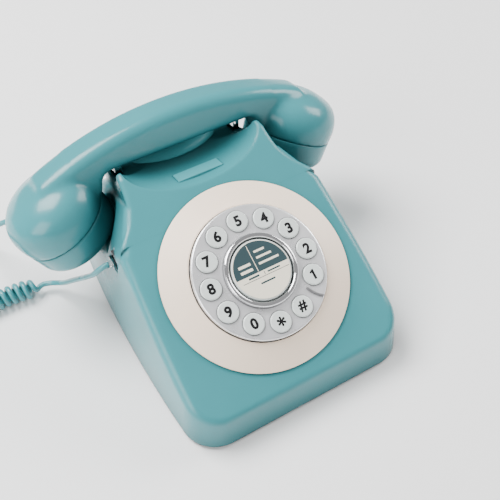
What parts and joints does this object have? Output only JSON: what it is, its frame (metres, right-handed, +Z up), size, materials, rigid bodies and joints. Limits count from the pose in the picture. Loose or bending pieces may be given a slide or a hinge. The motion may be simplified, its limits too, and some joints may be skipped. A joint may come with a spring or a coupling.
{
  "type": "desk telephone",
  "caption": "Desk telephone in dial style with push keys on a round plate, a lift-off handset on a sprung cradle hook, and a curly handset cord.",
  "frame": {"origin": "on the table, under the middle of the case, which is the bottom centre of the telephone without its cord", "axes": "+X to the user's right, -Y towards the user, +Z up"},
  "size_m": [0.3228, 0.2434, 0.1222],
  "materials": {
    "teal_gloss": "glossy moulded shell, smooth",
    "cream_plastic": "satin cream moulding",
    "silver_plate": "silver metallised plastic, softly polished",
    "chrome": "bright plated rim",
    "key_plastic": "pale grey-white keys with printed digits",
    "label_print": "printed disc under a clear face",
    "clear_plastic": "clear acrylic",
    "black_plastic": "fine moulded texture",
    "white_plastic": "plain moulding",
    "grey_rubber": "moulded keypad rubber",
    "rubber": "matt black rubber",
    "board_green": "green lacquered circuit board",
    "steel": "zinc plated steel",
    "cord_teal": "smooth flexible sleeve on a curly cord"
  },
  "bodies": {
    "base": {"badge_plate": "teal_gloss", "ballast_weight": "steel", "base_lead": "cord_teal", "base_plate": "black_plastic", "base_plug": "clear_plastic", "board_parts": "black_plastic", "board_screws": "steel", "case_screws": "steel", "case_shell": "teal_gloss", "centre_bezel": "chrome", "curly_cord": "cord_teal", "dial_plate": "silver_plate", "dial_retainer": "black_plastic", "dial_surround": "cream_plastic", "finger_stop": "chrome", "handset_socket": "black_plastic", "hook_bracket": "white_plastic", "hook_spring": "steel", "hook_switch": "black_plastic", "keypad_board": "board_green", "keypad_frame": "white_plastic", "keypad_membrane": "grey_rubber", "keypad_screws": "steel", "line_socket": "black_plastic", "main_board": "board_green", "ribbon_cable": "white_plastic", "ringer_clip": "steel", "ringer_speaker": "black_plastic", "rubber_feet": "rubber", "slide_switch_bodies": "steel"},
    "handset": {"handset_shell": "teal_gloss", "ear_cap": "teal_gloss", "mouth_cap": "teal_gloss", "earpiece_receiver": "black_plastic", "microphone": "steel", "mic_boot": "rubber", "handset_weight": "steel", "handset_jack": "black_plastic", "handset_wires": "black_plastic", "handset_lead": "cord_teal", "handset_plug": "clear_plastic"},
    "hook": {"hook_plungers": "clear_plastic", "hook_bar": "white_plastic"},
    "key_1": {"key_1": "key_plastic"},
    "key_2": {"key_2": "key_plastic"},
    "key_3": {"key_3": "key_plastic"},
    "key_4": {"key_4": "key_plastic"},
    "key_5": {"key_5": "key_plastic"},
    "key_6": {"key_6": "key_plastic"},
    "key_7": {"key_7": "key_plastic"},
    "key_8": {"key_8": "key_plastic"},
    "key_9": {"key_9": "key_plastic"},
    "key_0": {"key_0": "key_plastic"},
    "key_star": {"key_star": "key_plastic"},
    "key_hash": {"key_hash": "key_plastic"},
    "redial": {"redial_button": "key_plastic", "redial_label": "label_print"},
    "ringer_knob": {"ringer_switch": "black_plastic"},
    "tone_knob": {"tone_switch": "black_plastic"}
  },
  "joints": [
    {"name": "handset_lift", "type": "slide", "parent": "base", "child": "handset", "axis": [0, 0, 1], "range_m": [0, 0.1]},
    {"name": "hook_rise", "type": "slide", "parent": "base", "child": "hook", "axis": [0, 0, 1], "range_m": [0, 0.005], "deforming": ["hook_spring"]},
    {"name": "press_1", "type": "slide", "parent": "base", "child": "key_1", "axis": [0, 0.5, -0.866], "range_m": [0, 0.0012], "stiffness_N_per_m": 400},
    {"name": "press_2", "type": "slide", "parent": "base", "child": "key_2", "axis": [0, 0.5, -0.866], "range_m": [0, 0.0012], "stiffness_N_per_m": 400},
    {"name": "press_3", "type": "slide", "parent": "base", "child": "key_3", "axis": [0, 0.5, -0.866], "range_m": [0, 0.0012], "stiffness_N_per_m": 400},
    {"name": "press_4", "type": "slide", "parent": "base", "child": "key_4", "axis": [0, 0.5, -0.866], "range_m": [0, 0.0012], "stiffness_N_per_m": 400},
    {"name": "press_5", "type": "slide", "parent": "base", "child": "key_5", "axis": [0, 0.5, -0.866], "range_m": [0, 0.0012], "stiffness_N_per_m": 400},
    {"name": "press_6", "type": "slide", "parent": "base", "child": "key_6", "axis": [0, 0.5, -0.866], "range_m": [0, 0.0012], "stiffness_N_per_m": 400},
    {"name": "press_7", "type": "slide", "parent": "base", "child": "key_7", "axis": [0, 0.5, -0.866], "range_m": [0, 0.0012], "stiffness_N_per_m": 400},
    {"name": "press_8", "type": "slide", "parent": "base", "child": "key_8", "axis": [0, 0.5, -0.866], "range_m": [0, 0.0012], "stiffness_N_per_m": 400},
    {"name": "press_9", "type": "slide", "parent": "base", "child": "key_9", "axis": [0, 0.5, -0.866], "range_m": [0, 0.0012], "stiffness_N_per_m": 400},
    {"name": "press_0", "type": "slide", "parent": "base", "child": "key_0", "axis": [0, 0.5, -0.866], "range_m": [0, 0.0012], "stiffness_N_per_m": 400},
    {"name": "press_star", "type": "slide", "parent": "base", "child": "key_star", "axis": [0, 0.5, -0.866], "range_m": [0, 0.0012], "stiffness_N_per_m": 400},
    {"name": "press_hash", "type": "slide", "parent": "base", "child": "key_hash", "axis": [0, 0.5, -0.866], "range_m": [0, 0.0012], "stiffness_N_per_m": 400},
    {"name": "press_redial", "type": "slide", "parent": "base", "child": "redial", "axis": [0, 0.5, -0.866], "range_m": [0, 0.0015], "stiffness_N_per_m": 400},
    {"name": "ringer_slide", "type": "slide", "parent": "base", "child": "ringer_knob", "axis": [1, 0, 0], "range_m": [0, 0.004]},
    {"name": "tone_slide", "type": "slide", "parent": "base", "child": "tone_knob", "axis": [1, 0, 0], "range_m": [0, 0.004]}
  ],
  "couplings": [
    {"joint": "hook_rise", "follows": "handset_lift", "ratio": 0.05}
  ]
}
